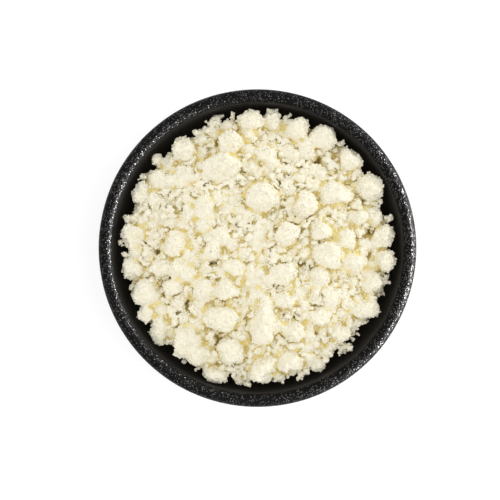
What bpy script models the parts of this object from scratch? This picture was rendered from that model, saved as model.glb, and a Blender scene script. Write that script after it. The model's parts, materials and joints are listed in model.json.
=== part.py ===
"""A small black stoneware bowl, filled and heaped with crumbled feta cheese.

The bowl is a turned shape: a foot ring, a curved wall and a half-round lip. The cheese is one solid: a
domed core that lies in the bowl with the crumbs that show fused onto it. The larger crumbs have their
own places, and the smaller ones fill in between them by a seeded rule.

Units are metres, +Z is up, and the origin is the middle of the foot, on the table.
"""

import math
import random

import bmesh
import bpy
from mathutils import Matrix, Vector

MM = 0.001

# Bowl
BOWL_RADIUS = 65.0 * MM
BOWL_HEIGHT = 46.0 * MM
LIP_WIDTH = 5.7 * MM
FOOT_RADIUS = 35.2 * MM
FOOT_RING_WIDTH = 3.2 * MM
FOOT_RECESS = 2.2 * MM
FOOT_HEIGHT = 3.0 * MM
FOOT_FLARE = 1.2 * MM
FLOOR_HEIGHT = 8.0 * MM
FLOOR_RADIUS = 28.0 * MM
OUTER_BELLY = (58.5 * MM, 9.0 * MM)
INNER_BELLY = (56.0 * MM, 12.0 * MM)
BOWL_SIDES = 60
LIP_STEPS = 6
OUTER_STEPS = 6
INNER_STEPS = 6

# Heap
HEAP_GAP = 0.45 * MM
CORE_CROWN = 48.0 * MM
CORE_EDGE = 37.0 * MM
CORE_ROUNDING = 2.2
CORE_RADIUS = 56.5 * MM
CORE_SIDES = 30
CORE_RINGS = 5
CORE_SIDE_DROP = 2.0 * MM
CORE_UNEVENNESS = 0.8 * MM

# The larger crumbs, in millimetres and degrees: across, up, half length, half width, and the turn of the
# length from across towards up, seen from above.
LARGE_CRUMBS = (
    (-3, 52, 6.0, 5.0, 0), (-30, 41, 5.5, 5.0, 80), (-11, 43, 5.5, 5.0, 60), (-15, 33, 8.0, 5.5, 10),
    (-41, 29, 4.5, 3.5, 80), (-48, 22, 5.0, 3.5, 75), (-30, 29, 5.0, 4.0, 70), (-22, 16, 6.0, 4.0, 80),
    (-51, 5, 5.5, 5.5, 0), (6, 52, 5.0, 3.5, 80), (16, 49, 5.5, 5.5, 60), (27, 45, 5.5, 5.5, 30),
    (38, 36, 6.0, 5.0, 100), (46, 25, 6.0, 5.5, 20), (32, 22, 7.0, 5.5, 0), (2, 21, 7.0, 6.0, 20),
    (19, 18, 5.0, 5.5, 0), (12, 6, 5.5, 5.5, 60), (52, 4, 5.5, 5.0, 80), (41, 13, 4.5, 3.5, 0),
    (25, 7, 5.0, 4.0, 0), (36, 3, 5.0, 4.5, 0), (3, 38, 5.0, 3.5, 0), (-52, -8, 5.5, 3.5, 100),
    (-46, -18, 6.5, 5.5, 0), (-46, -27, 4.5, 3.5, 70), (-40, -33, 8.0, 3.5, 75), (-29, -37, 8.0, 6.0, 50),
    (-14, -29, 8.0, 5.5, 175), (-24, -43, 5.5, 5.5, 0), (-11, -42, 5.5, 5.5, 80), (-18, -52, 5.5, 3.5, -20),
    (-21, -17, 5.5, 4.5, 20), (-12, -17, 5.0, 5.0, 0), (-34, -16, 5.5, 3.5, 10), (-38, -8, 6.0, 3.5, 5),
    (-34, 2, 5.5, 5.0, 70), (-18, -1, 5.5, 3.5, 70), (-10, -8, 5.0, 3.5, 0), (2, -30, 12.5, 5.0, 88),
    (11, -21, 5.5, 3.5, -15), (2, -49, 8.0, 5.5, 60), (13, -47, 5.5, 5.0, 0), (44, -25, 6.5, 4.5, -5),
    (11, -10, 6.0, 5.0, 20), (29, -3, 6.5, 5.5, -20), (15, -34, 5.5, 5.0, 0), (25, -12, 5.0, 4.0, 0),
    (39, -6, 5.5, 5.0, 0), (47, -14, 5.0, 4.0, 40), (52, -5, 4.5, 5.0, 0), (26, -28, 5.0, 4.0, 0),
    (34, -35, 5.0, 3.5, -30),
)
LARGE_FLATNESS = 0.9
LARGE_LIFT = 0.3
LARGE_SQUARENESS = 0.3

# The smaller crumbs that fill in between
SMALL_CRUMBS = 100
SMALL_TRIES = 4000
SMALL_HALF = (2.2 * MM, 3.6 * MM)
SMALL_STRETCH = (0.85, 1.3)
SMALL_FLATNESS = 0.85
SMALL_FORM_RADIUS = 1.1
SMALL_LIFT = 0.3
SMALL_SPREAD = 57.5 * MM
SMALL_SPACING = 0.9

CRUMB_JITTER = 0.13
SEED = 41


def clear_scene():
    for obj in list(bpy.data.objects):
        bpy.data.objects.remove(obj, do_unlink=True)


def make_material(name, colour, roughness, metallic=0.0):
    material = bpy.data.materials.new(name)
    material.use_nodes = True
    shader = material.node_tree.nodes["Principled BSDF"]
    shader.inputs["Base Color"].default_value = (*colour, 1.0)
    shader.inputs["Roughness"].default_value = roughness
    shader.inputs["Metallic"].default_value = metallic
    return material


def curve_points(start, control, end, steps):
    """Points of a quadratic curve from start to end, both included, as (radius, height) pairs."""
    points = []
    for step in range(steps + 1):
        t = step / steps
        weights = ((1 - t) ** 2, 2 * t * (1 - t), t**2)
        points.append(
            tuple(sum(w * p[axis] for w, p in zip(weights, (start, control, end))) for axis in (0, 1))
        )
    return points


LIP_RADIUS = LIP_WIDTH / 2
LIP_BASE = BOWL_HEIGHT - LIP_RADIUS
LIP_MIDDLE = BOWL_RADIUS - LIP_RADIUS
INNER_WALL = curve_points(
    (FLOOR_RADIUS, FLOOR_HEIGHT), INNER_BELLY, (BOWL_RADIUS - LIP_WIDTH, LIP_BASE), INNER_STEPS
)


def inner_radius(height):
    """The bowl's inner radius at a height above its floor."""
    for (low_radius, low), (high_radius, high) in zip(INNER_WALL, INNER_WALL[1:]):
        if height <= high:
            share = max(0.0, (height - low) / (high - low))
            return low_radius + share * (high_radius - low_radius)
    return INNER_WALL[-1][0]


def core_height(radius):
    """The height of the core's domed top at a distance from the axis."""
    return CORE_CROWN - (CORE_CROWN - CORE_EDGE) * min(radius / CORE_RADIUS, 1.0) ** CORE_ROUNDING


def turned_object(name, profile, sides):
    """A closed solid of revolution about Z. The profile starts and ends on the axis."""
    bm = bmesh.new()
    points = [bm.verts.new((radius, 0.0, height)) for radius, height in profile]
    edges = [bm.edges.new(pair) for pair in zip(points, points[1:])]
    bmesh.ops.spin(
        bm, geom=points + edges, cent=(0, 0, 0), axis=(0, 0, 1), angle=math.tau, steps=sides, use_merge=True
    )
    bmesh.ops.remove_doubles(bm, verts=bm.verts, dist=0.01 * MM)
    bmesh.ops.recalc_face_normals(bm, faces=bm.faces)
    return link_object(name, bm, bpy.context.scene.collection)


def link_object(name, bm, collection):
    mesh = bpy.data.meshes.new(name)
    bm.to_mesh(mesh)
    bm.free()
    obj = bpy.data.objects.new(name, mesh)
    collection.objects.link(obj)
    return obj


def make_bowl():
    foot_wall = FOOT_RADIUS + FOOT_FLARE
    foot = [
        (0.0, FOOT_RECESS),
        (FOOT_RADIUS - FOOT_RING_WIDTH - FOOT_FLARE, FOOT_RECESS),
        (FOOT_RADIUS - FOOT_RING_WIDTH, 0.0),
        (FOOT_RADIUS, 0.0),
        (foot_wall, FOOT_FLARE),
    ]
    outside = curve_points((foot_wall, FOOT_HEIGHT), OUTER_BELLY, (BOWL_RADIUS, LIP_BASE), OUTER_STEPS)
    lip = []
    for step in range(1, LIP_STEPS):
        turn = math.pi * step / LIP_STEPS
        lip.append((LIP_MIDDLE + LIP_RADIUS * math.cos(turn), LIP_BASE + LIP_RADIUS * math.sin(turn)))
    inside = INNER_WALL[::-1]
    bowl = turned_object("bowl", foot + outside + lip + inside + [(0.0, FLOOR_HEIGHT)], BOWL_SIDES)
    bowl.data.shade_smooth()
    bowl.data.set_sharp_from_angle(angle=math.radians(35))
    bowl.data.materials.append(make_material("black_stoneware", (0.022, 0.021, 0.020), 0.42))


def make_core(draw):
    """The cheese below the crumbs: it follows the bowl's inside and has a domed, bumpy top."""
    floor = FLOOR_HEIGHT + HEAP_GAP
    side_top = CORE_EDGE - CORE_SIDE_DROP
    side = [(radius - HEAP_GAP, height) for radius, height in INNER_WALL if floor < height < side_top]
    edge_radius = inner_radius(CORE_EDGE) - 2 * HEAP_GAP
    top = []
    for ring in range(CORE_RINGS):
        radius = edge_radius * (1 - ring / CORE_RINGS)
        top.append((radius, core_height(radius)))
    under = [(0.0, floor), (FLOOR_RADIUS - HEAP_GAP, floor)]
    core = turned_object("feta_heap", under + side + top + [(0.0, CORE_CROWN)], CORE_SIDES)
    for vert in core.data.vertices:
        if vert.co.z > side_top and vert.co.xy.length < edge_radius - HEAP_GAP:
            vert.co.z += draw.uniform(-CORE_UNEVENNESS, CORE_UNEVENNESS)
    return core


def large_form(bm):
    """A cube that is cut once each way and then partly rounded."""
    bmesh.ops.create_cube(bm, size=2.0)
    bmesh.ops.subdivide_edges(bm, edges=bm.edges, cuts=1, use_grid_fill=True)
    for vert in bm.verts:
        vert.co = vert.co.normalized().lerp(vert.co, LARGE_SQUARENESS)


def small_form(bm):
    """A solid of twenty sides, a little larger than the ball it stands for."""
    bmesh.ops.create_icosphere(bm, subdivisions=1, radius=SMALL_FORM_RADIUS)


def add_crumb(form, place, halves, turn, draw, group):
    """One uneven crumb. It moves towards the axis until it is clear of the bowl."""
    bm = bmesh.new()
    form(bm)
    leaning = Vector((draw.uniform(-1, 1), draw.uniform(-1, 1), 1))
    tumble = Matrix.Rotation(draw.uniform(0, math.tau), 3, leaning)
    stretch = Matrix.Rotation(turn, 3, "Z") @ Matrix.Diagonal(halves)
    for vert in bm.verts:
        uneven = vert.co * (1 + draw.uniform(-CRUMB_JITTER, CRUMB_JITTER))
        vert.co = Vector(place) + stretch @ tumble @ uneven
    overshoot = max(vert.co.xy.length - inner_radius(vert.co.z) + HEAP_GAP for vert in bm.verts)
    if overshoot > 0:
        inward = Vector((*place[:2], 0.0)).normalized() * -overshoot
        bmesh.ops.translate(bm, verts=bm.verts, vec=inward)
    bmesh.ops.recalc_face_normals(bm, faces=bm.faces)
    link_object("crumb", bm, group)


def add_large_crumbs(draw, group):
    for across, up, length, width, turn in LARGE_CRUMBS:
        halves = Vector((length, width, width * LARGE_FLATNESS)) * MM
        middle = core_height(math.hypot(across, up) * MM) + LARGE_LIFT * halves.z
        add_crumb(large_form, (across * MM, up * MM, middle), halves, math.radians(turn), draw, group)


def add_small_crumbs(draw, group):
    """Smaller crumbs at random places that no crumb has taken yet."""
    taken = [(x * MM, y * MM, (length + width) / 2 * MM) for x, y, length, width, _ in LARGE_CRUMBS]
    for _ in range(SMALL_TRIES):
        half = draw.uniform(*SMALL_HALF)
        radius = (SMALL_SPREAD - half) * math.sqrt(draw.random())
        angle = draw.uniform(0, math.tau)
        across, up = radius * math.cos(angle), radius * math.sin(angle)
        if any(math.hypot(across - x, up - y) < SMALL_SPACING * (half + size) for x, y, size in taken):
            continue
        taken.append((across, up, half))
        place = (across, up, core_height(radius) + SMALL_LIFT * half)
        halves = Vector((draw.uniform(*SMALL_STRETCH), 1.0, SMALL_FLATNESS)) * half
        turn = draw.uniform(0, math.pi)
        add_crumb(small_form, place, halves, turn, draw, group)
        if len(taken) == len(LARGE_CRUMBS) + SMALL_CRUMBS:
            break


def shells_of(bm):
    """The mesh's connected shells, each a list of faces."""
    left = set(bm.faces)
    shells = []
    while left:
        front = [left.pop()]
        shell = list(front)
        while front:
            face = front.pop()
            for edge in face.edges:
                for other in edge.link_faces:
                    if other in left:
                        left.remove(other)
                        front.append(other)
                        shell.append(other)
        shells.append(shell)
    return shells


def fuse(core, group):
    """Joins the crumbs to the core, then fills sealed hollows and drops loose scraps."""
    union = core.modifiers.new("crumbs", "BOOLEAN")
    union.operation = "UNION"
    union.operand_type = "COLLECTION"
    union.collection = group
    union.solver = "EXACT"
    bpy.context.view_layer.objects.active = core
    bpy.ops.object.modifier_apply(modifier=union.name)
    for crumb in list(group.objects):
        bpy.data.objects.remove(crumb, do_unlink=True)
    bpy.data.collections.remove(group)
    bm = bmesh.new()
    bm.from_mesh(core.data)
    outer = set(max(shells_of(bm), key=len))
    loose = [face for face in bm.faces if face not in outer]
    bmesh.ops.delete(bm, geom=loose, context="FACES")
    bmesh.ops.triangulate(bm, faces=bm.faces)
    bm.to_mesh(core.data)
    bm.free()


def make_heap():
    draw = random.Random(SEED)
    group = bpy.data.collections.new("crumbs")
    bpy.context.scene.collection.children.link(group)
    heap = make_core(draw)
    add_large_crumbs(draw, group)
    add_small_crumbs(draw, group)
    fuse(heap, group)
    heap.data.shade_smooth()
    heap.data.set_sharp_from_angle(angle=math.radians(40))
    heap.data.materials.append(make_material("feta_cheese", (0.83, 0.77, 0.59), 0.75))


clear_scene()
make_bowl()
make_heap()
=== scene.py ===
"""A black stoneware bowl heaped with crumbled feta cheese, modelled around its fixed frame.

Every length is in metres unless its name ends in _mm. +Z is up and the origin is the middle of the foot.
"""

import json
import math
import random
from typing import NamedTuple

import bpy
import numpy as np
from bpy.props import FloatProperty, FloatVectorProperty, IntProperty, PointerProperty
from mathutils import Matrix, Vector
from mathutils.bvhtree import BVHTree

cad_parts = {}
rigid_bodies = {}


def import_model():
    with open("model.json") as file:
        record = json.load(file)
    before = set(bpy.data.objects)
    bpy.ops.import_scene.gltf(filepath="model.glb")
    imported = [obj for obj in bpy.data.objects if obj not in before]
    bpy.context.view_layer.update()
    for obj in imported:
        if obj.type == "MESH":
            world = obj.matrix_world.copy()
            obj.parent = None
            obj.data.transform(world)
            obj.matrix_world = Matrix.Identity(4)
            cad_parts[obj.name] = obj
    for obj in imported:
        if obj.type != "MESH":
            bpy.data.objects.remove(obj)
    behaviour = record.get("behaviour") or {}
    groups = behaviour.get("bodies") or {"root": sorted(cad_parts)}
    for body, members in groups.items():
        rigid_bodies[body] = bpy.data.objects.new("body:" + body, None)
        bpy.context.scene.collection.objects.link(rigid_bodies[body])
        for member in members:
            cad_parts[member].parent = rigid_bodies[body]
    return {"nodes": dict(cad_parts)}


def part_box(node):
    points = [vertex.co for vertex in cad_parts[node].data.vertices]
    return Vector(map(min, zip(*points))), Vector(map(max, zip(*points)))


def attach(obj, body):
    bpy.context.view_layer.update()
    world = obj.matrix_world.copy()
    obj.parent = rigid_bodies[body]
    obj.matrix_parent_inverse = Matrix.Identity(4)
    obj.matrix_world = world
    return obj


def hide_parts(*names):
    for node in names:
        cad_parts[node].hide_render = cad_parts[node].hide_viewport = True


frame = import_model()

bl_info = {
    "name": "Bowl of Crumbled Feta",
    "version": (1, 0, 0),
    "blender": (4, 5, 0),
    "location": "3D View > Sidebar > Feta",
    "description": "Models a black bowl heaped with crumbled feta cheese, piece by piece",
    "category": "Object",
}

MM = 0.001
BOWL_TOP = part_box("bowl")[1]
SEED = 41
WALL_STEPS = 24
CREASE_PASSES = 8

# The larger crumbs, in millimetres and degrees: across, up, half length, half width, and the turn of the
# length from across towards up, seen from above.
LARGE_CRUMBS = (
    (-3, 52, 6.0, 5.0, 0), (-30, 41, 5.5, 5.0, 80), (-11, 43, 5.5, 5.0, 60), (-15, 33, 8.0, 5.5, 10),
    (-41, 29, 4.5, 3.5, 80), (-48, 22, 5.0, 3.5, 75), (-30, 29, 5.0, 4.0, 70), (-22, 16, 6.0, 4.0, 80),
    (-51, 5, 5.5, 5.5, 0), (6, 52, 5.0, 3.5, 80), (16, 49, 5.5, 5.5, 60), (27, 45, 5.5, 5.5, 30),
    (38, 36, 6.0, 5.0, 100), (46, 25, 6.0, 5.5, 20), (32, 22, 7.0, 5.5, 0), (2, 21, 7.0, 6.0, 20),
    (19, 18, 5.0, 5.5, 0), (12, 6, 5.5, 5.5, 60), (52, 4, 5.5, 5.0, 80), (41, 13, 4.5, 3.5, 0),
    (25, 7, 5.0, 4.0, 0), (36, 3, 5.0, 4.5, 0), (3, 38, 5.0, 3.5, 0), (-52, -8, 5.5, 3.5, 100),
    (-46, -18, 6.5, 5.5, 0), (-46, -27, 4.5, 3.5, 70), (-40, -33, 8.0, 3.5, 75), (-29, -37, 8.0, 6.0, 50),
    (-14, -29, 8.0, 5.5, 175), (-24, -43, 5.5, 5.5, 0), (-11, -42, 5.5, 5.5, 80), (-18, -52, 5.5, 3.5, -20),
    (-21, -17, 5.5, 4.5, 20), (-12, -17, 5.0, 5.0, 0), (-34, -16, 5.5, 3.5, 10), (-38, -8, 6.0, 3.5, 5),
    (-34, 2, 5.5, 5.0, 70), (-18, -1, 5.5, 3.5, 70), (-10, -8, 5.0, 3.5, 0), (2, -30, 12.5, 5.0, 88),
    (11, -21, 5.5, 3.5, -15), (2, -49, 8.0, 5.5, 60), (13, -47, 5.5, 5.0, 0), (44, -25, 6.5, 4.5, -5),
    (11, -10, 6.0, 5.0, 20), (29, -3, 6.5, 5.5, -20), (15, -34, 5.5, 5.0, 0), (25, -12, 5.0, 4.0, 0),
    (39, -6, 5.5, 5.0, 0), (47, -14, 5.0, 4.0, 40), (52, -5, 4.5, 5.0, 0), (26, -28, 5.0, 4.0, 0),
    (34, -35, 5.0, 3.5, -30),
)

# Gaps that stay open between the crumbs, in millimetres: across, up, radius.
GAPS = (
    (-5, -29, 2.5), (-6, -40, 2.0), (-11, -1, 3.0), (0, -2, 2.0), (-18, -6, 3.0), (-28, -22, 3.0),
    (-16, -37, 2.5), (-22, -38, 2.5), (-32, 14, 2.5), (-25, 42, 2.0), (-16, 43, 2.5), (25, 36, 3.5),
    (32, 38, 2.5), (39, 28, 3.0), (12, 20, 3.0), (19, -6, 2.0), (23, -9, 2.0), (45, 6, 3.0),
    (-36, -30, 2.5), (-42, -2, 3.0), (-32, -5, 2.5),
)

# Notches in the crumbs' edge, where the bowl's wall shows, given as the gaps are.
NOTCHES = (
    (32, 46.5, 7.0), (22, 51.5, 5.5), (-27, 50, 5.0), (-38, 41.5, 7.0), (-52, 18, 5.5), (53, 16.5, 6.0),
    (-54.5, -14, 5.5), (-52, -25.5, 5.5), (-47, -34, 6.0), (-39, -41, 5.0), (-29, -48.5, 6.0),
    (-11.5, -56, 4.5), (54, -15.5, 5.5), (50.5, -21.5, 6.5), (45, -33, 6.0), (33.5, -45, 5.5),
    (25, -52, 4.5), (2, 56, 4.5), (-44, 33, 4.5),
)


def length(name, description, default):
    return FloatProperty(name=name, description=description, default=default, min=0, unit="LENGTH")


def pair(name, description, default, **more):
    return FloatVectorProperty(name=name, description=description, default=default, size=2, **more)


def number(name, description, default, **more):
    return FloatProperty(name=name, description=description, default=default, min=0, **more)


def how_many(name, description, default):
    return IntProperty(name=name, description=description, default=default, min=0)


def angle(name, description, degrees):
    return FloatProperty(name=name, description=description, default=math.radians(degrees), subtype="ANGLE")


def tint(name, description, default):
    return FloatVectorProperty(
        name=name, description=description, default=default, size=3, min=0, max=1, subtype="COLOR"
    )


class BowlSettings(bpy.types.PropertyGroup):
    radius: length("Radius", "From the axis to the lip's outer edge", BOWL_TOP.x)
    height: length("Height", "From the foot to the top of the lip", BOWL_TOP.z)
    lip_width: length("Lip width", "Across the half-round lip", 5.7 * MM)
    foot_radius: length("Foot radius", "Outer edge of the face that the bowl stands on", 35.2 * MM)
    foot_ring: length("Foot ring", "Width of the face that the bowl stands on", 3.2 * MM)
    foot_recess: length("Foot recess", "Depth of the hollow under the bowl", 2.2 * MM)
    foot_height: length("Foot height", "From the foot to where the wall starts", 3.0 * MM)
    foot_flare: length("Foot flare", "How far the foot widens above its face", 1.2 * MM)
    floor_height: length("Floor height", "The inside's lowest point", 8.0 * MM)
    floor_radius: length("Floor radius", "The inside's flat middle", 28.0 * MM)
    outer_belly: pair(
        "Outer belly", "Radius and height that pull the outer wall out", (58.5 * MM, 9.0 * MM), unit="LENGTH"
    )
    inner_belly: pair(
        "Inner belly", "Radius and height that pull the inner wall out", (56.0 * MM, 12.0 * MM), unit="LENGTH"
    )
    waviness: length("Waviness", "How far the hand-turned wall wavers", 0.12 * MM)
    glaze: tint("Glaze", "Colour of the black glaze", (0.0028, 0.0026, 0.0025))
    # The inside colour is painted lighter than the black glaze outside: painted light on the inner wall.
    inside: tint("Inside", "Colour of the smoother glaze inside the bowl", (0.036, 0.033, 0.031))
    worn_glaze: tint("Worn glaze", "Colour of the glaze on its grains", (0.09, 0.088, 0.085))
    relief: length("Relief", "Height of the glaze's grains", 0.29 * MM)
    matt: number("Matt", "Roughness of the glaze", 0.42)
    shine: number("Shine", "Specular level of the glaze", 0.06)


class HeapSettings(bpy.types.PropertyGroup):
    gap: length("Gap", "Between the cheese and the bowl", 0.45 * MM)
    crown: length("Crown", "Height of the heap's middle below its top crumbs", 48.0 * MM)
    edge: length("Edge", "Height of the heap where it meets the wall", 39.0 * MM)
    edge_radius: length("Edge radius", "Where the heap has its edge height", 52.5 * MM)
    rounding: number("Rounding", "Power of the dome's fall", 2.2)
    seat: length("Seat", "Height where the lumpy mass lies on the plain cheese below", 31.0 * MM)
    bed_drop: length("Bed drop", "How far the bed of the stuck crumbs lies below the dome", 2.5 * MM)
    hollow: length("Hollow", "Depth in the bed of a gap of the usual radius", 4.5 * MM)
    shoulder: length("Shoulder", "How far the core's edge lies below its top", 7.0 * MM)
    lift: number("Lift", "Height of a large crumb's middle, in half heights", 0.42)
    flatness: number("Flatness", "A large crumb's height by its width", 0.9)
    bed_count: how_many("Stuck crumbs", "How many are dropped on the bed", 1250)
    medium_count: how_many("Medium crumbs", "How many are dropped", 40)
    lesser_count: how_many("Lesser crumbs", "How many are dropped", 90)
    small_count: how_many("Small crumbs", "How many are dropped", 420)
    fine_count: how_many("Fine crumbs", "How many are dropped", 1300)
    grain_count: how_many("Grains", "How many are dropped", 3600)
    curd_count: how_many("Curds", "How many stand out of the crumbs' skin", 5200)
    cream: tint("Cream", "Colour of the cheese in the open", (0.92, 0.87, 0.70))
    # Painted warm shade: the colour that the gaps, the pits and the glow in the gaps are painted in.
    painted_gap_gold: tint("Gold", "Colour of the cheese deep in the gaps", (0.87, 0.73, 0.30))
    relief: length("Relief", "Height of the curds that are only shaded", 0.5 * MM)
    matt: number("Matt", "Roughness of the cheese", 0.62)
    shine: number("Shine", "Specular level of the moist skin", 0.03)
    # Painted glow: the cheese gives off this light in its gaps, standing in for light that passes through it.
    painted_gap_glow: number("Glow", "Light that passes through the cheese into its gaps", 0.012, precision=4)


class StageSettings(bpy.types.PropertyGroup):
    floor_size: length("Floor size", "Side of the square floor", 3.0)
    floor_tint: tint("Floor tint", "Colour of the floor", (0.5, 0.5, 0.5))
    floor_glow: number("Floor glow", "Light that the floor gives by itself", 0.55)
    camera_height: length("Camera height", "From the floor to the camera", 0.9)
    pixel: number("Pixel", "One image pixel at the lip, in metres", 0.4077 * MM, precision=6)
    image_side: how_many("Image side", "The image's side in pixels", 500)
    middle: pair("Middle", "The bowl's axis in the image, in pixels", (257.5, 248.1))
    key_power: number("Key power", "Power of the soft box, in watts", 2.1)
    key_size: length("Key size", "Side of the soft box", 0.32)
    strip_power: number("Strip power", "Power of the strip light, in watts", 100.0)
    strip_size: pair("Strip size", "Width and height of the strip light", (1.1, 0.3), unit="LENGTH")
    distance: length("Distance", "From the bowl to each light", 0.95)
    key_from: angle("Key from", "Turn of the soft box from +X towards +Y", 25)
    strip_from: angle("Strip from", "Turn of the strip light from +X towards +Y", -8)
    key_lean: angle("Key lean", "Angle of the soft box from straight overhead", 80)
    strip_lean: angle("Strip lean", "Angle of the strip light from straight overhead", 69)
    sky: number("Sky", "Strength of the even light from all round", 1.172)


# Shader nodes

# Patterns of the glaze and the cheese, in cells to a metre.
GRIT_CELLS = 1600.0
GRIT_NOISE = 1300.0
BLOTCH_NOISE = 45.0
CURD_NOISE = 1500.0
LUMP_CELLS = 1000.0
FINE_NOISE = 3200.0
PORE_CELLS = 1500.0
PIT_CELLS = 650.0
PATCH_NOISE = 260.0
SPOT_NOISE = 140.0


class Number:
    """A number socket. Python's operators on it add Math nodes."""

    def __init__(self, sheet, socket):
        self.sheet = sheet
        self.socket = socket

    def combined(self, operation, first, second):
        return self.sheet.node("ShaderNodeMath", {"operation": operation}, {0: first, 1: second})

    def __add__(self, other):
        return self.combined("ADD", self, other)

    def __sub__(self, other):
        return self.combined("SUBTRACT", self, other)

    def __mul__(self, other):
        return self.combined("MULTIPLY", self, other)

    def __rsub__(self, other):
        return self.combined("SUBTRACT", other, self)

    __radd__ = __add__
    __rmul__ = __mul__


class Sheet:
    """The nodes of one material."""

    def __init__(self, name):
        self.material = bpy.data.materials.new(name)
        self.material.use_nodes = True
        self.tree = self.material.node_tree
        self.shader = self.tree.nodes["Principled BSDF"]

    def feed(self, socket, value):
        if isinstance(value, Number):
            self.tree.links.new(value.socket, socket)
        elif hasattr(socket.default_value, "__len__") and len(socket.default_value) == 4:
            socket.default_value = (*value[:3], 1.0)
        else:
            socket.default_value = value

    def node(self, kind, settings=None, inputs=None, output=0):
        """A node of that kind. Its settings come first, then the values or links of its sockets."""
        made = self.tree.nodes.new(kind)
        for name, value in (settings or {}).items():
            setattr(made, name, value)
        for name, value in (inputs or {}).items():
            self.feed(made.inputs[name], value)
        return Number(self, made.outputs[output])

    def coordinates(self):
        return self.node("ShaderNodeTexCoord", output=3)

    def mixed(self, factor, first, second):
        """The first colour where the factor is 0 and the second where it is 1."""
        return self.node("ShaderNodeMix", {"data_type": "RGBA"}, {0: factor, 6: first, 7: second}, output=2)

    def ramp(self, value, low, high):
        """0 up to low, 1 from high, and a smooth rise between them."""
        limits = {"Value": value, "From Min": low, "From Max": high}
        return self.node("ShaderNodeMapRange", {"interpolation_type": "SMOOTHSTEP"}, limits)

    def bump(self, relief, strength, distance):
        values = {"Strength": strength, "Distance": distance, "Height": relief}
        return self.node("ShaderNodeBump", inputs=values)

    def noise(self, scale, detail=2.0, roughness=0.5):
        values = {"Vector": self.coordinates(), "Scale": scale, "Detail": detail, "Roughness": roughness}
        return self.node("ShaderNodeTexNoise", inputs=values)

    def cells(self, scale, output="Distance"):
        """Distance to the nearest cell's middle, in cells, or a random colour for each cell."""
        values = {"Vector": self.coordinates(), "Scale": scale}
        return self.node("ShaderNodeTexVoronoi", inputs=values, output=output)

    def finish(self, values):
        """The material, with these values or links on its shader."""
        for name, value in values.items():
            self.feed(self.shader.inputs[name], value)
        return self.material


def glaze_material(bowl):
    """A black glaze, coarse and grained where the attribute grain is 1, and smoother inside, where its colour
    is painted lighter as painted light on the inner wall.
    """
    sheet = Sheet("black_glaze")
    grain = sheet.node("ShaderNodeAttribute", {"attribute_name": "grain"}, output=2)
    middles = sheet.cells(GRIT_CELLS)
    relief = (sheet.noise(GRIT_NOISE, 1.0, 0.4) - middles * 0.35) * (grain * 0.9 + 0.1)
    blotches = sheet.ramp(sheet.noise(BLOTCH_NOISE, 3.0), 0.35, 0.7)
    picked = sheet.ramp(sheet.cells(GRIT_CELLS, "Color"), 0.42, 0.48)
    tips = (1.0 - sheet.ramp(middles, 0.28, 0.42)) * picked * grain
    outside = sheet.mixed(tips, bowl.glaze, bowl.worn_glaze)
    # Painted light: the inside gets the lighter inside colour.
    colour = sheet.mixed(grain, bowl.inside, outside)
    return sheet.finish({
        "Specular IOR Level": bowl.shine,
        "Base Color": colour,
        "Metallic": tips,
        "Roughness": bowl.matt - tips * 0.07 + blotches * 0.04,
        "Normal": sheet.bump(relief, 1.0, bowl.relief),
    })


def cheese_material(heap):
    """Moist white cheese, with a painted warm shade and a painted glow where the attribute depth says that it
    lies in a gap, and painted shade in small pits and pores.
    """
    sheet = Sheet("feta")
    depth = sheet.node("ShaderNodeAttribute", {"attribute_name": "depth"}, output=2)
    patches = sheet.noise(PATCH_NOISE, 3.0)
    curds = sheet.noise(CURD_NOISE, 3.0, 0.6)
    # Painted warm shade and painted glow where the cheese lies deep in a gap.
    deep = sheet.ramp(depth, 0.12, 0.85)
    duller = sheet.ramp(patches, 0.4, 0.65) * 0.5
    paler = sheet.mixed(duller, heap.cream, [c * 0.965 for c in heap.cream])
    # Painted shade in tiny pores: a darker cream near the middles of small cells.
    painted_pore_shade = 1.0 - sheet.ramp(sheet.cells(PORE_CELLS), 0.12, 0.34)
    pore_shaded = sheet.mixed(painted_pore_shade * 0.55, paler, [c * 0.86 for c in heap.cream])
    # Painted shade in small pits between the grains, tinted towards the gap gold in patches.
    painted_pit_shade = 1.0 - sheet.ramp(sheet.cells(PIT_CELLS), 0.10, 0.24)
    painted_pit_shade = painted_pit_shade * sheet.ramp(sheet.noise(SPOT_NOISE), 0.48, 0.62)
    colour = sheet.mixed(deep, sheet.mixed(painted_pit_shade * 0.7, pore_shaded, heap.painted_gap_gold), heap.painted_gap_gold)
    relief = curds * 0.9 + sheet.cells(LUMP_CELLS) * 0.5 + sheet.noise(FINE_NOISE, 1.0) * 0.35
    return sheet.finish({
        "Specular IOR Level": heap.shine,
        "Emission Strength": heap.painted_gap_glow,
        "Base Color": colour,
        "Roughness": heap.matt + curds * 0.2,
        "Normal": sheet.bump(relief, 0.9, heap.relief),
        # Painted glow in the gaps, in the painted gap gold.
        "Emission Color": sheet.mixed(deep, (0.0, 0.0, 0.0), heap.painted_gap_gold),
    })


# Modelling


def deselect():
    bpy.ops.object.select_all(action="DESELECT")


def make_active(obj):
    """Makes this object the active one and the only one that is selected."""
    deselect()
    obj.select_set(True)
    bpy.context.view_layer.objects.active = obj


def new_object(name, points, edges=(), faces=()):
    """A mesh object at the origin, selected and active."""
    mesh = bpy.data.meshes.new(name)
    mesh.from_pydata(points, edges, faces)
    obj = bpy.data.objects.new(name, mesh)
    bpy.context.scene.collection.objects.link(obj)
    make_active(obj)
    return obj


def modify(obj, kind, **settings):
    """Adds a modifier with these settings and applies it."""
    modifier = obj.modifiers.new(kind.lower(), kind)
    for name, value in settings.items():
        setattr(modifier, name, value)
    bpy.ops.object.modifier_apply(modifier=modifier.name)


def relief_texture(name, kind, scale, **settings):
    texture = bpy.data.textures.get(name) or bpy.data.textures.new(name, kind)
    texture.noise_scale = scale
    for key, value in settings.items():
        setattr(texture, key, value)
    return texture


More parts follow.
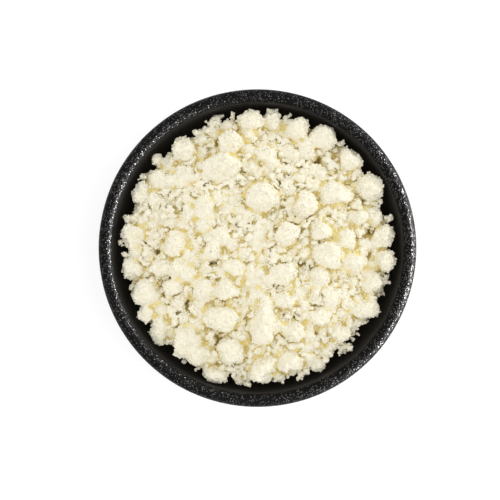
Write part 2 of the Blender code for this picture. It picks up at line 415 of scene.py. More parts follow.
def points_of(obj):
    points = np.empty(len(obj.data.vertices) * 3, np.float32)
    obj.data.vertices.foreach_get("co", points)
    return points.reshape(-1, 3).astype(float)


def move_points(obj, points):
    obj.data.vertices.foreach_set("co", points.astype(np.float32).ravel())


def triangles_of(obj):
    obj.data.calc_loop_triangles()
    corners = np.empty(len(obj.data.loop_triangles) * 3, np.int32)
    obj.data.loop_triangles.foreach_get("vertices", corners)
    return corners.reshape(-1, 3)


def neighbours(obj):
    """Each edge's two points, given both ways round."""
    ends = np.empty(len(obj.data.edges) * 2, np.int32)
    obj.data.edges.foreach_get("vertices", ends)
    return np.concatenate([ends[0::2], ends[1::2]]), np.concatenate([ends[1::2], ends[0::2]])


def spread(obj, values, passes):
    """Rows of values, one for each point, averaged over the neighbouring points again and again."""
    first, second = neighbours(obj)
    count = np.maximum(np.bincount(first, minlength=len(values)), 1)[:, None]
    for _ in range(passes):
        sums = [np.bincount(first, column[second], len(values)) for column in values.T]
        values = np.stack(sums, axis=1) / count
    return values


def creases(obj):
    """How far each point lies below its surroundings along its normal, or 0 on what bulges."""
    points = points_of(obj)
    normals = np.empty(len(points) * 3, np.float32)
    obj.data.vertices.foreach_get("normal", normals)
    away = (spread(obj, points, CREASE_PASSES) - points) * normals.reshape(-1, 3)
    return np.maximum(away.sum(axis=1), 0)


def without_specks(obj, least):
    """Deletes the closed bubbles and flakes of fewer points than that, which a remesh leaves behind."""
    first, second = neighbours(obj)
    island, before = np.arange(len(obj.data.vertices)), None
    while before is None or (island != before).any():
        before = island.copy()
        np.minimum.at(island, first, before[second])
        island = island[island]
    bpy.ops.object.mode_set(mode="EDIT")
    bpy.ops.mesh.select_all(action="DESELECT")
    bpy.ops.object.mode_set(mode="OBJECT")
    obj.data.vertices.foreach_set("select", np.bincount(island, minlength=len(island))[island] < least)
    bpy.ops.object.mode_set(mode="EDIT")
    bpy.ops.mesh.delete(type="VERT")
    bpy.ops.object.mode_set(mode="OBJECT")


def set_attribute(obj, name, values):
    attribute = obj.data.attributes.new(name, "FLOAT", "POINT")
    attribute.data.foreach_set("value", np.asarray(values, np.float32))


def hand_over(obj, node, material):
    """Gives a finished piece its material, shades it smooth, hangs it on the root body and hides the frame's
    node that it stands for.
    """
    make_active(obj)
    bpy.ops.object.shade_smooth()
    obj.data.materials.append(material)
    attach(obj, "root")
    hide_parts(node)


def curve_points(start, control, end, steps):
    """Points of a quadratic curve from start to end, both included, as (radius, height) pairs."""
    start, control, end = (np.array(point) for point in (start, control, end))
    share = np.linspace(0, 1, steps + 1)[:, None]
    points = (1 - share) ** 2 * start + 2 * share * (1 - share) * control + share**2 * end
    return [tuple(point) for point in points.tolist()]


def inner_wall(bowl):
    """The bowl's inside, from its floor up to its lip."""
    top = (bowl.radius - bowl.lip_width, bowl.height - bowl.lip_width / 2)
    return curve_points((bowl.floor_radius, bowl.floor_height), bowl.inner_belly, top, WALL_STEPS)


def wall_radius(bowl, heights):
    """Radius of the bowl's inside at these heights."""
    wall = np.array(inner_wall(bowl))
    return np.interp(heights, wall[:, 1], wall[:, 0])


def turned(name, profile, sides):
    """Spins a profile round Z in edit mode and closes it. The profile starts and ends on the axis."""
    points = [(radius, 0.0, height) for radius, height in profile]
    obj = new_object(name, points, edges=[(i, i + 1) for i in range(len(points) - 1)])
    bpy.ops.object.mode_set(mode="EDIT")
    bpy.ops.mesh.select_all(action="SELECT")
    bpy.ops.mesh.spin(steps=sides, angle=math.tau, center=(0, 0, 0), axis=(0, 0, 1))
    bpy.ops.mesh.select_all(action="SELECT")
    bpy.ops.mesh.remove_doubles(threshold=0.005 * MM)
    bpy.ops.mesh.normals_make_consistent(inside=False)
    bpy.ops.object.mode_set(mode="OBJECT")
    return obj


class FETA_OT_bowl(bpy.types.Operator):
    """Turns the bowl, bevels its foot and lets its wall waver a little"""

    bl_idname = "feta.bowl"
    bl_label = "Turn the Bowl"
    SIDES = 256
    OUTER_STEPS = 34
    LIP_STEPS = 18
    BEVEL = 0.5 * MM
    BEVEL_ANGLE = math.radians(25)
    WAVES = 20.0 * MM
    SMOOTH_BAND = 0.6 * MM

    def execute(self, context):
        bowl = context.scene.feta_bowl
        lip = bowl.lip_width / 2
        foot_wall = bowl.foot_radius + bowl.foot_flare
        foot = [
            (0.0, bowl.foot_recess),
            (bowl.foot_radius - bowl.foot_ring - bowl.foot_flare, bowl.foot_recess),
            (bowl.foot_radius - bowl.foot_ring, 0.0),
            (bowl.foot_radius, 0.0),
            (foot_wall, bowl.foot_flare),
        ]
        top = (bowl.radius, bowl.height - lip)
        outside = curve_points((foot_wall, bowl.foot_height), bowl.outer_belly, top, self.OUTER_STEPS)
        turns = np.linspace(0, math.pi, self.LIP_STEPS + 1)[1:-1]
        rim = [
            (bowl.radius - lip + lip * math.cos(turn), bowl.height - lip + lip * math.sin(turn))
            for turn in turns
        ]
        inside = inner_wall(bowl)[::-1]
        obj = turned("bowl_turned", foot + outside + rim + inside + [(0.0, bowl.floor_height)], self.SIDES)
        modify(
            obj, "BEVEL", width=self.BEVEL, segments=3, limit_method="ANGLE", angle_limit=self.BEVEL_ANGLE
        )
        clouds = relief_texture("waver", "CLOUDS", self.WAVES, noise_depth=1)
        modify(obj, "DISPLACE", texture=clouds, strength=bowl.waviness, mid_level=0.5, texture_coords="LOCAL")
        points = points_of(obj)
        points[:, 2] = np.maximum(points[:, 2], 0.0)
        move_points(obj, points)
        from_wall = np.hypot(points[:, 0], points[:, 1]) - wall_radius(bowl, points[:, 2])
        set_attribute(obj, "grain", np.clip(from_wall / self.SMOOTH_BAND, 0, 1))
        hand_over(obj, "bowl", glaze_material(bowl))
        return {"FINISHED"}


# The heap

# A gap's hollow in the bed: the usual radius, the width by the radius, and how far below the seat it ends.
USUAL_GAP_MM = 3.0
HOLLOW_WIDTH = 0.62
HOLLOW_FOOT = 2.0 * MM

# How near a dropped crumb comes to a gap's middle, by the gap's radius and by its own half size.
GAP_SHARE = 0.5
CRUMB_SHARE = 0.4

# Dropped crumbs: how rare the large ones are, and their footing and half height by their half size.
RARITY = 1.6
FOOTING = 0.8
HALF_HEIGHT = 0.85

# How a crumb is made: where its flat breaks lie by its half size, how far its textures are shifted, and how
# much it is smoothed and how high its lumps are by its half size.
BREAK_AT = (0.6, 0.84)
TEXTURE_SHIFT_MM = 500.0
SMOOTHING = 0.16
LUMPINESS = 0.3
LUMP_SIZE_MM = 3.0
CURD_SIZE_MM = 1.3
CURD_HEIGHT_MM = 1.4
SKIN_CURD_SIZE = 1.4 * MM

# The bits on a crumb's skin, and the half sizes from which a crumb's curds and bits are full size.
BITS_IN_CLUSTER = (4, 12)
CLUSTER_MM = 1.8
BIT_HALVES_MM = (0.45, 1.0)
FULL_CURDS_MM = 3.0
FULL_BITS_MM = 3.2


class Layer(NamedTuple):
    """How the crumbs of one layer are dropped, between two half sizes.

    Each one lands on the lowest of a few random places within the reach, sunk by a share of its half size.
    Of the places over gaps only the share in_gaps is tried, and none that stands out of the dome by more
    than the cap is used.
    """

    smallest: float
    largest: float
    seed: int
    tries: int
    sink: float = 0.25
    in_gaps: float = 0.0
    cap: float = 3.5 * MM
    reach: float = 58.3 * MM


def dome(heap, radius):
    """Height of the heap's mean surface at a distance from the axis."""
    share = np.minimum(np.asarray(radius) / heap.edge_radius, 1.0)
    return heap.crown - (heap.crown - heap.edge) * share**heap.rounding


def bed(heap, x, y):
    """Height of the bed that the crumbs are stuck on, with its hollows."""
    height = dome(heap, np.hypot(x, y)) - heap.bed_drop
    for across_mm, up_mm, radius_mm in GAPS + NOTCHES:
        away = np.hypot(x - across_mm * MM, y - up_mm * MM) / (radius_mm * HOLLOW_WIDTH * MM)
        height = height - heap.hollow * radius_mm / USUAL_GAP_MM * np.exp(-(away**2))
    return np.maximum(height, heap.seat - HOLLOW_FOOT)


def over_gap(x, y, half):
    """Whether a crumb of that half size would lie over a gap or a notch."""
    return any(
        math.hypot(x - across_mm * MM, y - up_mm * MM) < radius_mm * GAP_SHARE * MM + half * CRUMB_SHARE
        for across_mm, up_mm, radius_mm in GAPS + NOTCHES
    )


def kept_inside(points, bowl, heap):
    """These points of one crumb, moved towards the axis until they are clear of the bowl's wall."""
    limit = wall_radius(bowl, points[:, 2]) - heap.gap
    overshoot = (np.hypot(points[:, 0], points[:, 1]) - limit).max()
    if overshoot <= 0:
        return points
    middle = points[:, :2].mean(axis=0)
    inward = -middle / np.hypot(*middle) * overshoot
    return points + (*inward, 0.0)


class Ground:
    """The heap's top as a grid of heights, and where it is solid. Both grow when a crumb lands."""

    STEP = 0.5 * MM
    REACH = 62.0 * MM

    def __init__(self, heap, pieces):
        axis = np.arange(int(2 * self.REACH / self.STEP) + 1) * self.STEP - self.REACH
        self.x, self.y = np.meshgrid(axis, axis)
        self.top = bed(heap, self.x, self.y)
        self.solid = (np.hypot(self.x, self.y) < heap.edge_radius) & (self.top > heap.seat)
        for piece in pieces:
            points = points_of(piece)
            points = points[points[:, 2] > heap.seat]
            cells = np.rint((points[:, :2] + self.REACH) / self.STEP).astype(int)
            np.maximum.at(self.top, (cells[:, 1], cells[:, 0]), points[:, 2])
            self.solid[cells[:, 1], cells[:, 0]] = True

    def window(self, x, y, reach):
        """The grid's cells round a place, and how far away each one is, by the reach."""
        row, col = (int(round((value + self.REACH) / self.STEP)) for value in (y, x))
        cells = max(1, math.ceil(reach / self.STEP))
        area = (slice(row - cells, row + cells + 1), slice(col - cells, col + cells + 1))
        away = np.hypot(self.x[area] - x, self.y[area] - y) / reach
        return area, away

    def level(self, x, y, reach):
        """Mean height of what is solid under a crumb of that reach, or None over a hole."""
        area, away = self.window(x, y, reach)
        under = (away <= max(1.0, self.STEP / reach)) & self.solid[area]
        return self.top[area][under].mean() if under.any() else None

    def land(self, x, y, z, half, half_height):
        """Raises the grid to the top of a crumb."""
        area, away = self.window(x, y, half)
        cap = z + half_height * np.sqrt(np.clip(1 - away**2, 0, None))
        self.top[area] = np.where(away < 1, np.maximum(self.top[area], cap), self.top[area])
        self.solid[area] |= away < 1


def blurred(grid, cells):
    """A grid smoothed by three passes of a box along each way."""
    for _ in range(3):
        for axis in (0, 1):
            padding = [(cells + 1, cells) if a == axis else (0, 0) for a in (0, 1)]
            total = np.cumsum(np.pad(grid, padding, mode="edge"), axis=axis)
            width = 2 * cells + 1
            high = np.take(total, range(width, total.shape[axis]), axis=axis)
            low = np.take(total, range(0, total.shape[axis] - width), axis=axis)
            grid = (high - low) / width
    return grid


def taken(obj):
    """The points and triangles of an object, which is then deleted."""
    points, faces = points_of(obj), triangles_of(obj)
    mesh = obj.data
    bpy.data.objects.remove(obj)
    bpy.data.meshes.remove(mesh)
    return points, faces


def random_direction(draw):
    return Vector((draw.gauss(0, 1), draw.gauss(0, 1), draw.gauss(0, 1))).normalized()


def broken_ball(draw, halves, breaks, subdivisions):
    """A ball that is stretched, and broken off flat in some places."""
    deselect()
    bpy.ops.mesh.primitive_ico_sphere_add(subdivisions=subdivisions, radius=1)
    ball = bpy.context.object
    ball.data.transform(Matrix.Diagonal((*halves, 1.0)))
    bpy.ops.object.mode_set(mode="EDIT")
    for _ in range(breaks):
        away = random_direction(draw)
        reach = Vector(h * a for h, a in zip(halves, away)).length
        bpy.ops.mesh.select_all(action="SELECT")
        bpy.ops.mesh.bisect(
            plane_co=away * reach * draw.uniform(*BREAK_AT), plane_no=away, use_fill=True, clear_outer=True
        )
    bpy.ops.object.mode_set(mode="OBJECT")
    return ball


def broken_chunk(draw, halves_mm, voxel_mm, breaks, bits):
    """Points and triangles of one broken crumb round the origin, in metres.

    It is modelled in millimetres: clusters of bits stick to a broken ball, and a remesh joins them softly.
    """
    size = min(halves_mm)
    chunk = broken_ball(draw, halves_mm, breaks, subdivisions=3)
    shift = random_direction(draw) * TEXTURE_SHIFT_MM
    chunk.data.transform(Matrix.Translation(shift))
    modify(chunk, "REMESH", mode="VOXEL", voxel_size=voxel_mm)
    modify(chunk, "SMOOTH", factor=0.5, iterations=max(1, round(SMOOTHING * size / voxel_mm)))
    lumps = relief_texture("lumps", "CLOUDS", LUMP_SIZE_MM, noise_depth=1)
    modify(chunk, "DISPLACE", texture=lumps, strength=LUMPINESS * size, mid_level=0.5)
    if bits:
        stick_on(draw, chunk, bits, min(1.0, size / FULL_BITS_MM))
        modify(chunk, "REMESH", mode="VOXEL", voxel_size=voxel_mm)
        modify(chunk, "SMOOTH", factor=0.5, iterations=1)
    curds = relief_texture("curds", "CLOUDS", CURD_SIZE_MM, noise_depth=2, noise_type="HARD_NOISE")
    curd_height = CURD_HEIGHT_MM * min(1.0, size / FULL_CURDS_MM)
    modify(chunk, "DISPLACE", texture=curds, strength=curd_height, mid_level=0.3)
    modify(chunk, "TRIANGULATE")
    chunk.data.transform(Matrix.Scale(MM, 4) @ Matrix.Translation(-shift))
    return taken(chunk)


def join_to(obj, other):
    """Joins a second object into the first."""
    make_active(obj)
    other.select_set(True)
    mesh = other.data
    bpy.ops.object.join()
    bpy.data.meshes.remove(mesh)


def stick_on(draw, chunk, bits, scale):
    """Joins bits to a crumb in clusters on its skin, each up to 2.5 mm across at full scale."""
    skin = points_of(chunk)
    ball_points, ball_faces = simple_crumb(draw, subdivisions=1, unevenness=0.12)
    balls = []
    while len(balls) < bits:
        centre = skin[draw.randrange(len(skin))]
        for _ in range(draw.randint(*BITS_IN_CLUSTER)):
            near = centre + [draw.gauss(0, CLUSTER_MM * scale) for _ in range(3)]
            place = skin[np.argmin(((skin - near) ** 2).sum(axis=1))]
            radius = draw.uniform(*BIT_HALVES_MM) * scale
            balls.append((ball_points @ tumbled(draw).T * radius + place, ball_faces))
    join_to(chunk, joined("bits", balls))


def simple_crumb(draw, subdivisions, unevenness):
    """Points and triangles of one small crumb, one metre in half size."""
    deselect()
    bpy.ops.mesh.primitive_ico_sphere_add(subdivisions=subdivisions, radius=1)
    points, faces = taken(bpy.context.object)
    stretch = [draw.uniform(0.8, 1.25), draw.uniform(0.8, 1.15), draw.uniform(0.75, 1.0)]
    uneven = [[1 + draw.uniform(-unevenness, unevenness)] for _ in points]
    return points * uneven * stretch, faces


def tumbled(draw):
    """A random turn, as a 3 by 3 array."""
    return np.array(Matrix.Rotation(draw.uniform(0, math.tau), 3, random_direction(draw)))


def joined(name, crumbs):
    """One object of many crumbs, each given as its placed points and its triangles."""
    starts = np.cumsum([0] + [len(points) for points, _ in crumbs[:-1]])
    points = np.concatenate([points for points, _ in crumbs])
    faces = np.concatenate([faces + start for (_, faces), start in zip(crumbs, starts)])
    return new_object(name, points, faces=faces)


def heap_pieces():
    """The cheese that is modelled so far, without the frame's own nodes."""
    cheese = [obj for obj in bpy.data.objects if obj.name.startswith("feta_")]
    return [obj for obj in cheese if obj.name not in frame["nodes"]]


def finish_heap_piece(context, obj):
    material = bpy.data.materials.get("feta") or cheese_material(context.scene.feta_heap)
    hand_over(obj, "feta_heap", material)


def dropped(context, ground, forms, count, layer):
    """The placed crumbs of one layer, dropped one by one with the largest first."""
    bowl, heap = context.scene.feta_bowl, context.scene.feta_heap
    draw = random.Random(layer.seed)
    sizes = sorted((draw.uniform(0, 1) ** RARITY for _ in range(count)), reverse=True)
    crumbs = []
    for share in sizes:
        half = layer.smallest + share * (layer.largest - layer.smallest)
        places = []
        while len(places) < layer.tries:
            radius = (layer.reach - half) * math.sqrt(draw.random())
            angle = draw.uniform(0, math.tau)
            x, y = radius * math.cos(angle), radius * math.sin(angle)
            if over_gap(x, y, half) and draw.random() > layer.in_gaps:
                continue
            level = ground.level(x, y, half * FOOTING)
            if level is None:
                continue
            places.append((level - float(dome(heap, radius)), level, x, y))
        over, level, x, y = min(places)
        if over > layer.cap:
            continue
        z = level + layer.sink * half
        radius = math.hypot(x, y)
        limit = wall_radius(bowl, z) - heap.gap - half
        if radius > limit:
            x, y = x * limit / radius, y * limit / radius
        form_points, faces = draw.choice(forms)
        points = form_points @ tumbled(draw).T * half + (x, y, z)
        crumbs.append((kept_inside(points, bowl, heap), faces))
        ground.land(x, y, z, half, half * HALF_HEIGHT)
    return crumbs


def ground_now(context):
    return Ground(context.scene.feta_heap, heap_pieces())


def stick_together(obj, voxel, curds):
    """Makes crumbs that touch one body, with soft creases and a curdled skin."""
    modify(obj, "REMESH", mode="VOXEL", voxel_size=voxel)
    modify(obj, "SMOOTH", factor=0.5, iterations=1)
    clouds = relief_texture("skin_curds", "CLOUDS", SKIN_CURD_SIZE, noise_depth=2, noise_type="HARD_NOISE")
    modify(obj, "DISPLACE", texture=clouds, strength=curds, mid_level=0.3, texture_coords="LOCAL")
    modify(obj, "TRIANGULATE")
    without_specks(obj, least=20)


def unit_forms(draw, count, half_mm, voxel_mm, breaks, bits):
    """Several broken crumbs, scaled to one metre in half size."""
    forms = []
    for _ in range(count):
        halves_mm = (half_mm * draw.uniform(0.95, 1.3), half_mm * draw.uniform(0.9, 1.1), half_mm * 0.85)
        points, faces = broken_chunk(draw, halves_mm, voxel_mm, breaks, bits)
        forms.append((points / (half_mm * MM), faces))
    return forms


class FETA_OT_core(bpy.types.Operator):
    """Turns the plain cheese that fills the bowl below the crumbs"""

    bl_idname = "feta.core"
    bl_label = "Turn the Core"
    SIDES = 128
    SHOULDER_WIDTH = 4.0 * MM

    def execute(self, context):
        bowl, heap = context.scene.feta_bowl, context.scene.feta_heap
        floor = bowl.floor_height + heap.gap
        side_top = heap.seat - heap.shoulder
        side = [(radius - heap.gap, z) for radius, z in inner_wall(bowl) if floor < z < side_top]
        top = [(heap.edge_radius - self.SHOULDER_WIDTH, heap.seat), (0.0, heap.seat)]
        profile = [(0.0, floor), (bowl.floor_radius - heap.gap, floor)] + side + top
        finish_heap_piece(context, turned("feta_core", profile, self.SIDES))
        return {"FINISHED"}


class FETA_OT_bed(bpy.types.Operator):
    """Piles stuck crumbs on a low dome"""

    bl_idname = "feta.bed"
    bl_label = "Pile the Bed"
    SIDES = 120
    RINGS = 60
    FOOT = 3.0 * MM
    FORMS = 12
    LAYER = Layer(1.1 * MM, 3.4 * MM, SEED + 10, tries=3, sink=0.1, in_gaps=0.1, reach=55.6 * MM)

    def execute(self, context):
        heap = context.scene.feta_heap
        radii = np.linspace(heap.edge_radius, 0, self.RINGS + 1)
        foot = heap.seat - self.FOOT
        profile = [(0.0, foot), (heap.edge_radius, foot)]
        profile += [(radius, float(dome(heap, radius))) for radius in radii]
        mass = turned("feta_mass", profile, self.SIDES)
        points = points_of(mass)
        top = points[:, 2] > heap.seat
        points[top, 2] = bed(heap, points[top, 0], points[top, 1])
        move_points(mass, points)
        draw = random.Random(SEED + 9)
        balls = (broken_ball(draw, (1.1, 1.0, 0.85), breaks=5, subdivisions=2) for _ in range(self.FORMS))
        forms = [taken(ball) for ball in balls]
        crumbs = dropped(context, ground_now(context), forms, heap.bed_count, self.LAYER)
        join_to(mass, joined("stuck", crumbs))
        return {"FINISHED"}


class FETA_OT_large_crumbs(bpy.types.Operator):
    """Breaks each of the larger crumbs and lays it in its place"""

    bl_idname = "feta.large_crumbs"
    bl_label = "Lay the Large Crumbs"
    VOXEL_MM = 0.42
    BREAKS = (3, 6)
    BITS_BY_SIZE = 1.6

    def execute(self, context):
        bowl, heap = context.scene.feta_bowl, context.scene.feta_heap
        draw = random.Random(SEED)
        crumbs = []
        for across_mm, up_mm, length_mm, width_mm, turn in LARGE_CRUMBS:
            halves_mm = (length_mm, width_mm, width_mm * heap.flatness)
            bits = round(length_mm * width_mm * self.BITS_BY_SIZE)
            breaks = draw.randint(*self.BREAKS)
            points, faces = broken_chunk(draw, halves_mm, self.VOXEL_MM, breaks, bits)
            spin = np.array(Matrix.Rotation(math.radians(turn), 3, "Z"))
            height = float(dome(heap, math.hypot(across_mm, up_mm) * MM)) + heap.lift * halves_mm[2] * MM
            place = (across_mm * MM, up_mm * MM, height)
            points = kept_inside(points @ spin.T + place, bowl, heap)
            crumbs.append((points, faces))
        join_to(bpy.data.objects["feta_mass"], joined("large", crumbs))
        return {"FINISHED"}


class FETA_OT_medium_crumbs(bpy.types.Operator):
    """Drops crumbs of 4 to 9 mm between the large ones"""

    bl_idname = "feta.medium_crumbs"
    bl_label = "Drop the Medium Crumbs"
    MEDIUM = Layer(2.9 * MM, 4.4 * MM, SEED + 11, tries=7, sink=0.15)
    LESSER = Layer(1.9 * MM, 3.0 * MM, SEED + 12, tries=7, sink=0.15)

    def execute(self, context):
        heap = context.scene.feta_heap
        draw = random.Random(SEED + 1)
        forms = unit_forms(draw, count=14, half_mm=3.0, voxel_mm=0.44, breaks=6, bits=22)
        ground = ground_now(context)
        crumbs = dropped(context, ground, forms, heap.medium_count, self.MEDIUM)
        crumbs += dropped(context, ground, forms, heap.lesser_count, self.LESSER)
        join_to(bpy.data.objects["feta_mass"], joined("medium", crumbs))
        return {"FINISHED"}


class FETA_OT_mass(bpy.types.Operator):
    """Sticks the bed and its crumbs together into the lumpy mass that the loose ones lie on"""

    bl_idname = "feta.mass"
    bl_label = "Stick the Mass"
    VOXEL = 0.6 * MM
    CURDS = 1.2 * MM

    def execute(self, context):
        bowl, heap = context.scene.feta_bowl, context.scene.feta_heap
        mass = bpy.data.objects["feta_mass"]
        make_active(mass)
        stick_together(mass, self.VOXEL, self.CURDS)
        bpy.ops.object.mode_set(mode="EDIT")
        bpy.ops.mesh.select_all(action="SELECT")
        bpy.ops.mesh.bisect(plane_co=(0, 0, heap.seat), plane_no=(0, 0, 1), use_fill=True, clear_inner=True)
        bpy.ops.object.mode_set(mode="OBJECT")
        modify(mass, "TRIANGULATE")
        without_specks(mass, least=60)
        self.press_on_wall(mass, bowl, heap)
        finish_heap_piece(context, mass)
        return {"FINISHED"}

    def press_on_wall(self, mass, bowl, heap):
        """Moves in each point that would touch the bowl."""
        points = points_of(mass)
        radius = np.hypot(points[:, 0], points[:, 1])
        limit = wall_radius(bowl, points[:, 2]) - heap.gap
        points[:, :2] *= np.minimum(1.0, limit / np.maximum(radius, MM))[:, None]
        move_points(mass, points)


class FETA_OT_small_crumbs(bpy.types.Operator):
    """Drops crumbs of 1 to 4 mm over the heap, and sticks together those that touch"""

    bl_idname = "feta.small_crumbs"
    bl_label = "Drop the Small Crumbs"
    VOXEL = 0.41 * MM
    CURDS = 0.4 * MM
    SMALL = Layer(1.0 * MM, 2.0 * MM, SEED + 4, tries=8, in_gaps=0.1, cap=1.8 * MM, reach=57.6 * MM)
    FINE = Layer(0.45 * MM, 1.05 * MM, SEED + 6, tries=5, in_gaps=0.12, cap=1.5 * MM, reach=57.2 * MM)

    def execute(self, context):
        heap = context.scene.feta_heap
        draw = random.Random(SEED + 3)
        ground = ground_now(context)
        forms = unit_forms(draw, count=12, half_mm=1.6, voxel_mm=0.40, breaks=6, bits=6)
        crumbs = dropped(context, ground, forms, heap.small_count, self.SMALL)
        forms = unit_forms(draw, count=10, half_mm=1.0, voxel_mm=0.40, breaks=4, bits=5)
        crumbs += dropped(context, ground, forms, heap.fine_count, self.FINE)
        bits = joined("feta_crumbs_small", crumbs)
        stick_together(bits, self.VOXEL, self.CURDS)
        finish_heap_piece(context, bits)
        return {"FINISHED"}


class FETA_OT_grains(bpy.types.Operator):
    """Sprinkles grains over the heap, and lets curds stand out of the crumbs' skin"""

    bl_idname = "feta.grains"
    bl_label = "Sprinkle the Grains"
    FORMS = 8
    LAYER = Layer(0.22 * MM, 0.65 * MM, SEED + 8, tries=3, in_gaps=0.2, cap=1.5 * MM, reach=57.5 * MM)
    CURD_HALVES_MM = (0.3, 0.62)
    CREASE_LIMIT = 0.12 * MM
    BELOW_EDGE = 4.0 * MM

    def execute(self, context):
        draw = random.Random(SEED + 7)
        forms = [simple_crumb(draw, subdivisions=1, unevenness=0.2) for _ in range(self.FORMS)]
        count = context.scene.feta_heap.grain_count
        crumbs = dropped(context, ground_now(context), forms, count, self.LAYER)
        grains = self.settled(context, crumbs) + self.curds(context, forms, draw)
        finish_heap_piece(context, joined("feta_grains", grains))
        return {"FINISHED"}

    def settled(self, context, grains):
        """The grains, with each one that hovers or lies buried moved to the nearest skin."""
        graph = context.evaluated_depsgraph_get()
        under = [bpy.data.objects[name] for name in ("feta_mass", "feta_crumbs_small")]
        trees = [BVHTree.FromObject(obj, graph) for obj in under]
        moved = []
        for points, faces in grains:
            centre = Vector(points.mean(axis=0))
            skin, _, _, away = min((tree.find_nearest(centre) for tree in trees), key=lambda found: found[3])
            sunk = np.hypot(*(points - centre).T[:2]).max() * 0.5
            moved.append((points + (skin - centre) if away > sunk else points, faces))
        return moved

    def curds(self, context, forms, draw):
        """Grains that are half sunk in the mass, where it isn't creased."""
        bowl, heap = context.scene.feta_bowl, context.scene.feta_heap
        mass = bpy.data.objects["feta_mass"]
        skin = points_of(mass)
        skin = skin[(creases(mass) < self.CREASE_LIMIT) & (skin[:, 2] > heap.edge - self.BELOW_EDGE)]
        curds = []
        for _ in range(heap.curd_count):
            form_points, faces = draw.choice(forms)
            points = form_points @ tumbled(draw).T * draw.uniform(*self.CURD_HALVES_MM) * MM
            curds.append((kept_inside(points + skin[draw.randrange(len(skin))], bowl, heap), faces))
        return curds


class FETA_OT_depth(bpy.types.Operator):
    """Marks how deep each point of the cheese lies below the surface round it, for the painted warm shade in
    the gaps
    """

    bl_idname = "feta.depth"
    bl_label = "Mark the Gaps"
    BLUR = 3.0 * MM
    DEEPEST = 6.0 * MM
    CREASE = 0.36 * MM
    BLEED = 3

    def execute(self, context):
        ground = Ground(context.scene.feta_heap, heap_pieces())
        around = blurred(ground.top, round(self.BLUR / ground.STEP))
        for piece in heap_pieces():
            points = points_of(piece)
            cells = np.rint((points[:, :2] + ground.REACH) / ground.STEP).astype(int)
            below = around[cells[:, 1], cells[:, 0]] - points[:, 2]
            crease = spread(piece, creases(piece)[:, None], self.BLEED)[:, 0]
            hollow = below / self.DEEPEST + crease / self.CREASE
            set_attribute(piece, "depth", np.clip(hollow, 0, 1))
        return {"FINISHED"}


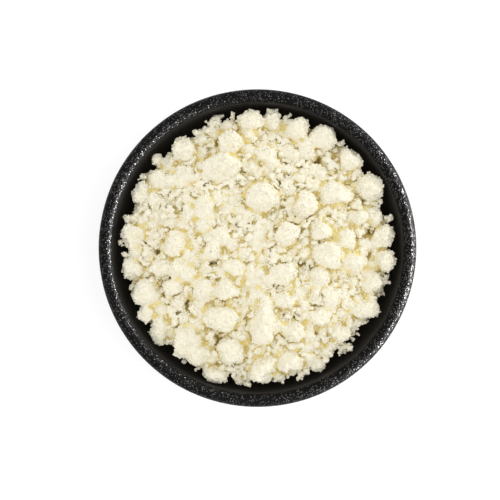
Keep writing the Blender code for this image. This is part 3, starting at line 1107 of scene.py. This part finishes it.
class FETA_OT_stage(bpy.types.Operator):
    """Adds the floor, the soft box, the strip light, the even light and the camera"""

    bl_idname = "feta.stage"
    bl_label = "Set the Stage"
    SENSOR_MM = 36.0

    def execute(self, context):
        stage = context.scene.feta_stage
        deselect()
        bpy.ops.mesh.primitive_plane_add(size=stage.floor_size)
        floor = context.object
        floor.name = "floor"
        sheet = Sheet("floor")
        floor.data.materials.append(sheet.finish({
            "Roughness": 0.9,
            "Emission Color": (1.0, 1.0, 1.0),
            "Emission Strength": stage.floor_glow,
            "Base Color": stage.floor_tint,
        }))
        box = (stage.key_size, stage.key_size)
        self.add_light(context, "soft_box", box, stage.key_power, stage.key_from, stage.key_lean)
        strip = self.add_light(
            context, "strip_light", stage.strip_size, stage.strip_power, stage.strip_from, stage.strip_lean
        )
        strip.visible_diffuse = False
        self.add_sky(context, stage)
        self.add_camera(context, stage)
        return {"FINISHED"}

    def add_light(self, context, name, size, power, turn, lean):
        toward = Vector((math.sin(lean) * math.cos(turn), math.sin(lean) * math.sin(turn), math.cos(lean)))
        bpy.ops.object.light_add(type="AREA", location=toward * context.scene.feta_stage.distance)
        light = context.object
        light.name = name
        light.data.shape = "RECTANGLE"
        light.data.size, light.data.size_y = size
        light.data.energy = power
        light.rotation_euler = toward.to_track_quat("Z", "Y").to_euler()
        return light

    def add_sky(self, context, stage):
        world = bpy.data.worlds.new("studio")
        world.use_nodes = True
        background = world.node_tree.nodes["Background"]
        background.inputs["Color"].default_value = (1.0, 1.0, 1.0, 1.0)
        background.inputs["Strength"].default_value = stage.sky
        context.scene.world = world
        context.scene.view_settings.view_transform = "Standard"

    def add_camera(self, context, stage):
        """Looks straight down, with the bowl where the image has it."""
        away = stage.camera_height - context.scene.feta_bowl.height
        half = stage.image_side / 2
        x = (half - stage.middle[0]) * stage.pixel
        y = (stage.middle[1] - half) * stage.pixel
        bpy.ops.object.camera_add(location=(x, y, stage.camera_height), rotation=(0, 0, 0))
        camera = context.object
        camera.data.sensor_width = self.SENSOR_MM
        camera.data.lens = camera.data.sensor_width * away / (stage.image_side * stage.pixel)
        context.scene.camera = camera


class FETA_PT_panel(bpy.types.Panel):
    bl_idname = "FETA_PT_panel"
    bl_label = "Bowl of Feta"
    bl_space_type = "VIEW_3D"
    bl_region_type = "UI"
    bl_category = "Feta"

    def draw(self, context):
        for name, settings in (("Bowl", "feta_bowl"), ("Heap", "feta_heap"), ("Stage", "feta_stage")):
            box = self.layout.box()
            box.label(text=name)
            group = getattr(context.scene, settings)
            for prop in group.bl_rna.properties:
                if prop.identifier not in ("name", "rna_type"):
                    box.prop(group, prop.identifier)
        for operator in OPERATORS:
            self.layout.operator(operator.bl_idname)


SETTINGS = {"feta_bowl": BowlSettings, "feta_heap": HeapSettings, "feta_stage": StageSettings}
OPERATORS = (
    FETA_OT_bowl, FETA_OT_core, FETA_OT_bed, FETA_OT_large_crumbs, FETA_OT_medium_crumbs, FETA_OT_mass,
    FETA_OT_small_crumbs, FETA_OT_grains, FETA_OT_depth, FETA_OT_stage,
)
CLASSES = (*SETTINGS.values(), *OPERATORS, FETA_PT_panel)


def register():
    for cls in CLASSES:
        bpy.utils.register_class(cls)
    for name, group in SETTINGS.items():
        setattr(bpy.types.Scene, name, PointerProperty(type=group))


def unregister():
    for name in SETTINGS:
        delattr(bpy.types.Scene, name)
    for cls in reversed(CLASSES):
        bpy.utils.unregister_class(cls)


def main():
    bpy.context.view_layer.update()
    register()
    bpy.ops.feta.bowl()
    bpy.ops.feta.core()
    bpy.ops.feta.bed()
    bpy.ops.feta.large_crumbs()
    bpy.ops.feta.medium_crumbs()
    bpy.ops.feta.mass()
    bpy.ops.feta.small_crumbs()
    bpy.ops.feta.grains()
    bpy.ops.feta.depth()
    bpy.ops.feta.stage()


if __name__ == "__main__":
    main()
